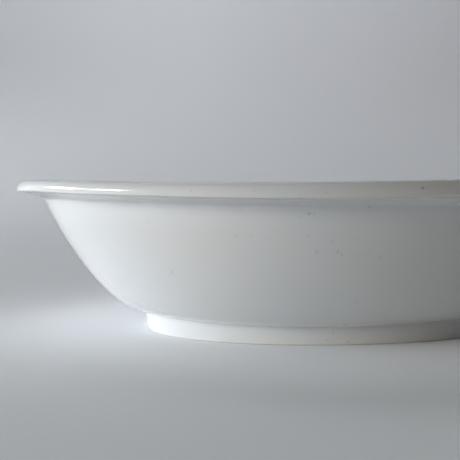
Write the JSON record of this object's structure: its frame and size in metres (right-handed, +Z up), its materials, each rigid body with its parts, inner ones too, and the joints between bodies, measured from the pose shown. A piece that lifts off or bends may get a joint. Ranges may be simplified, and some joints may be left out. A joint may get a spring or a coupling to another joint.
{
  "type": "oval serving bowl",
  "caption": "Oval serving bowl in white glazed earthenware, with an everted rim, a rolled lip and an applied foot ring.",
  "frame": {"origin": "centre of the foot's level face, on the surface that the bowl stands on", "axes": "+X along the bowl's long axis, +Y across it, +Z up"},
  "size_m": [0.3, 0.224, 0.0743],
  "materials": {
    "white_glaze": "glossy, slightly uneven white glaze with a few iron specks and pinholes",
    "foot_glaze": "thinner white glaze, wiped to bare buff clay on the level face it stands on"
  },
  "bodies": {
    "root": {"bowl_body": "white_glaze", "rim_flange": "white_glaze", "foot_ring": "foot_glaze"}
  },
  "joints": []
}
